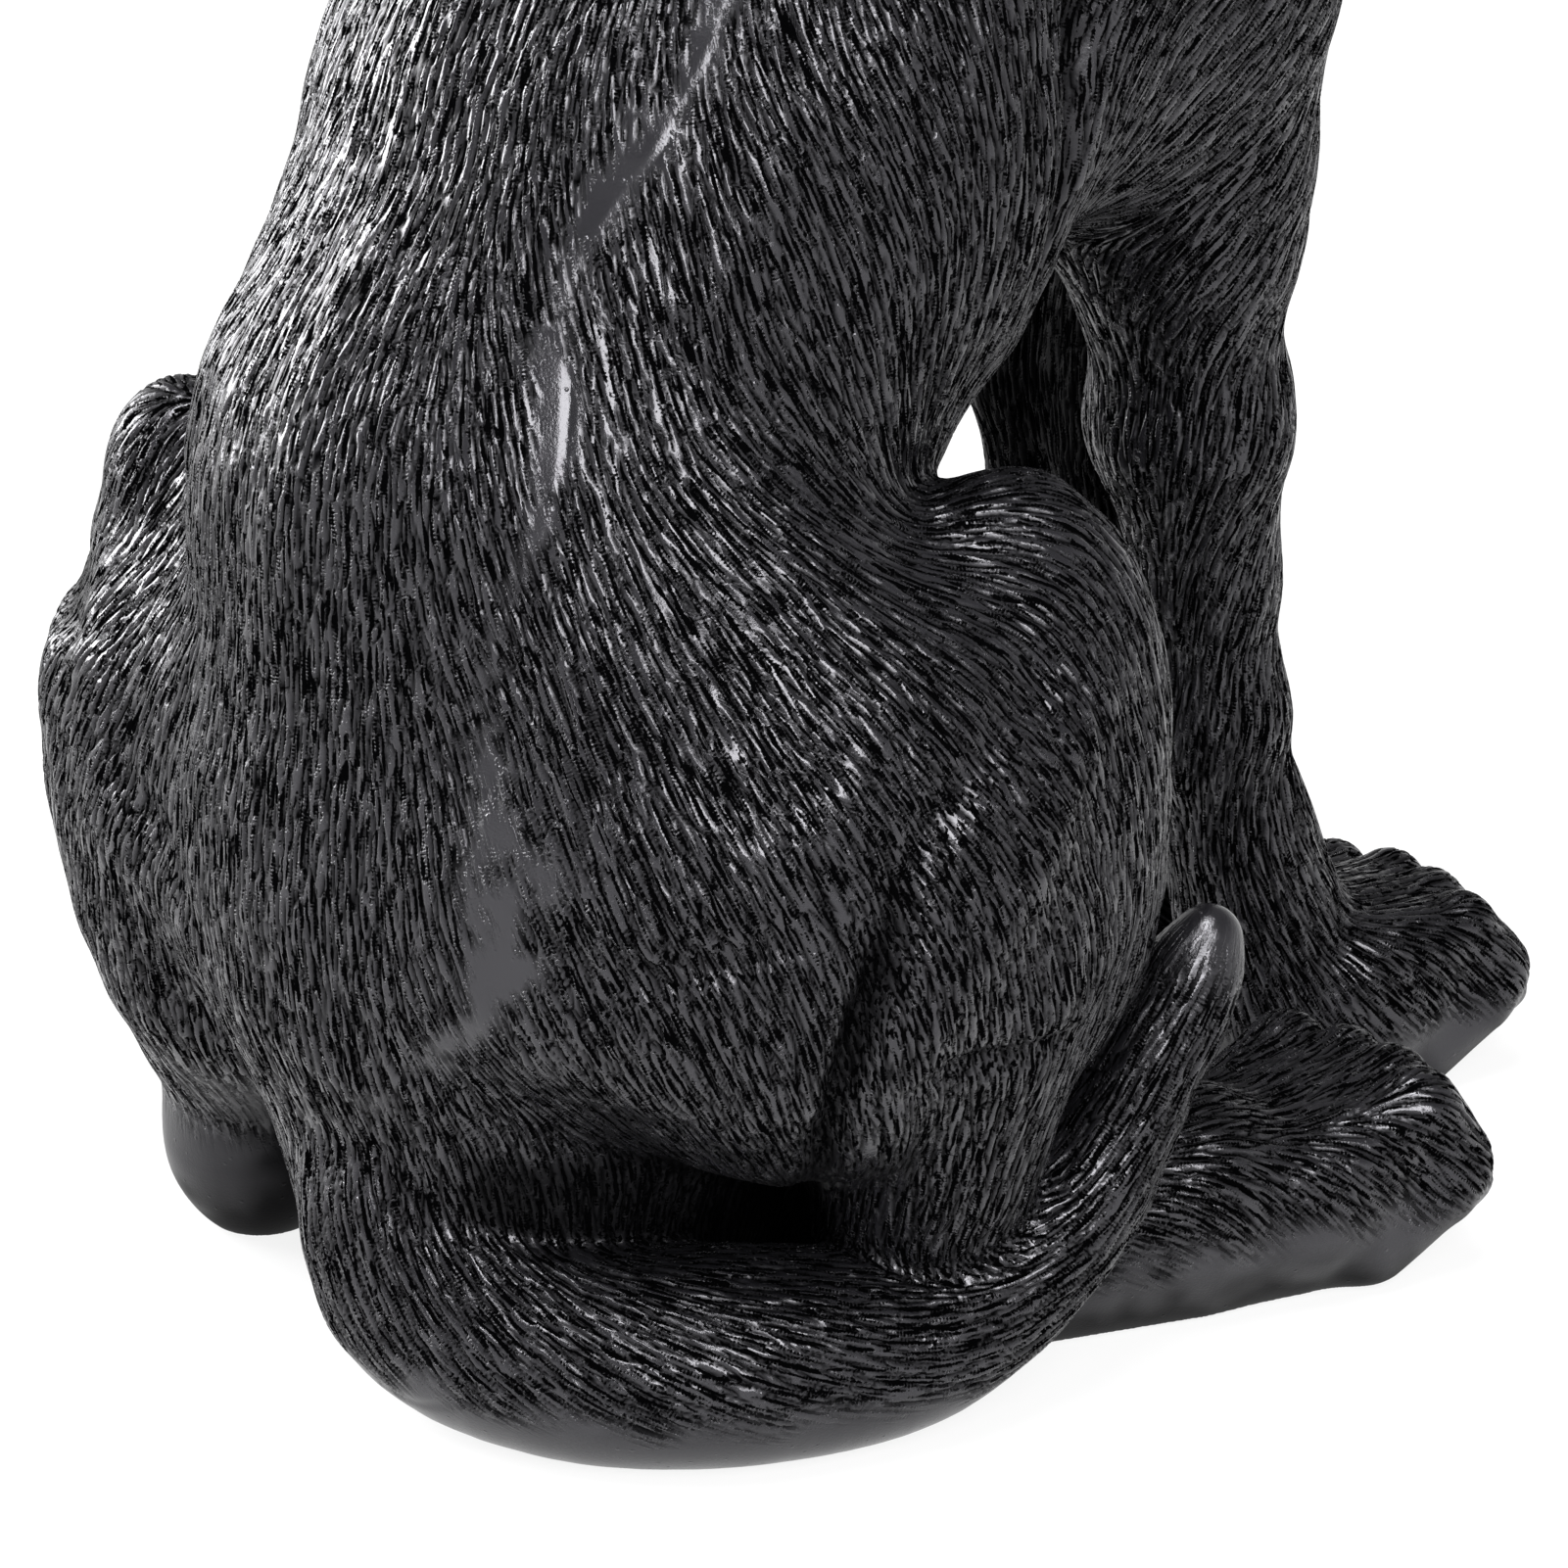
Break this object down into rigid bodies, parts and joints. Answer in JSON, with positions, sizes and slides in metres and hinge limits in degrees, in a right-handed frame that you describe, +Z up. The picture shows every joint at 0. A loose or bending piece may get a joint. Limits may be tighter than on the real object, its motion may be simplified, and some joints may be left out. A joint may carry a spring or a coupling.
{
  "type": "dog statue",
  "caption": "Sitting dog ornament in satin black cast resin with sculpted fur, its tail wrapped round one hind foot and a glued seam down the flanks.",
  "frame": {"origin": "on the floor, below the middle of the bounding box", "axes": "+Z up, -Y towards the dog's nose, +X towards the dog's left side"},
  "size_m": [0.1496, 0.2108, 0.2978],
  "materials": {
    "black_resin": "satin black paint over cast resin, sculpted fur strokes",
    "eye_acrylic": "polished dark brown acrylic",
    "pin_steel": "bright drawn steel",
    "dowel_wood": "plain beech",
    "pad_felt": "dark green felt",
    "plug_rubber": "matt black rubber"
  },
  "bodies": {
    "root": {"front_shell": "black_resin", "back_shell": "black_resin", "head": "black_resin", "leg_web": "black_resin", "tail": "black_resin", "neck_spigot": "dowel_wood", "seat_plug": "plug_rubber", "tail_pin": "pin_steel", "right_front_leg": "black_resin", "right_hind_foot": "black_resin", "right_leg_rod": "pin_steel", "right_foot_pin": "pin_steel", "right_front_pad": "pad_felt", "right_hind_pad": "pad_felt", "right_eye": "eye_acrylic", "right_upper_dowel": "dowel_wood", "right_lower_dowel": "dowel_wood", "left_front_leg": "black_resin", "left_hind_foot": "black_resin", "left_leg_rod": "pin_steel", "left_foot_pin": "pin_steel", "left_front_pad": "pad_felt", "left_hind_pad": "pad_felt", "left_eye": "eye_acrylic", "left_upper_dowel": "dowel_wood", "left_lower_dowel": "dowel_wood"}
  },
  "joints": []
}
